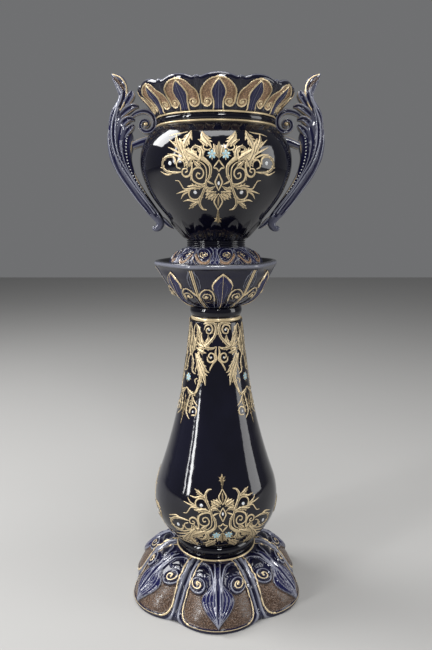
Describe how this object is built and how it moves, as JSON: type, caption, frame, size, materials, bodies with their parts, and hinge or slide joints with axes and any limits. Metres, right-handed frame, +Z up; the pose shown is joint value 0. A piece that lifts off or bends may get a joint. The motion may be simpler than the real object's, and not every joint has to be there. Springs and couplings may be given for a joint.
{
  "type": "jardiniere on stand",
  "caption": "Two-handled round planter pot with a lobed flared rim, standing in the cup of a tall pear-shaped pedestal on a petalled base.",
  "frame": {"origin": "centre of the base's footprint, on the floor", "axes": "+Z up along the pedestal's axis; the handles lie on +X and -X; the front faces -Y"},
  "size_m": [0.4094, 0.36, 1.0276],
  "materials": {
    "dark_glaze": "deep gloss blue-black glaze with gilt ornament",
    "relief_glaze": "gloss cobalt glaze over relief, edges gilt",
    "handle_glaze": "gloss cobalt glaze over relief, edges gilt"
  },
  "bodies": {
    "stand": {"stand_base": "relief_glaze", "stand_column": "dark_glaze", "stand_cup": "relief_glaze"},
    "pot": {"pot_foot": "relief_glaze", "pot_bowl": "dark_glaze", "pot_crown": "relief_glaze", "handle_left": "handle_glaze", "handle_right": "handle_glaze"}
  },
  "joints": [
    {"name": "pot_lift", "type": "slide", "parent": "stand", "child": "pot", "axis": [0, 0, 1], "range_m": [0, 0.08]}
  ]
}
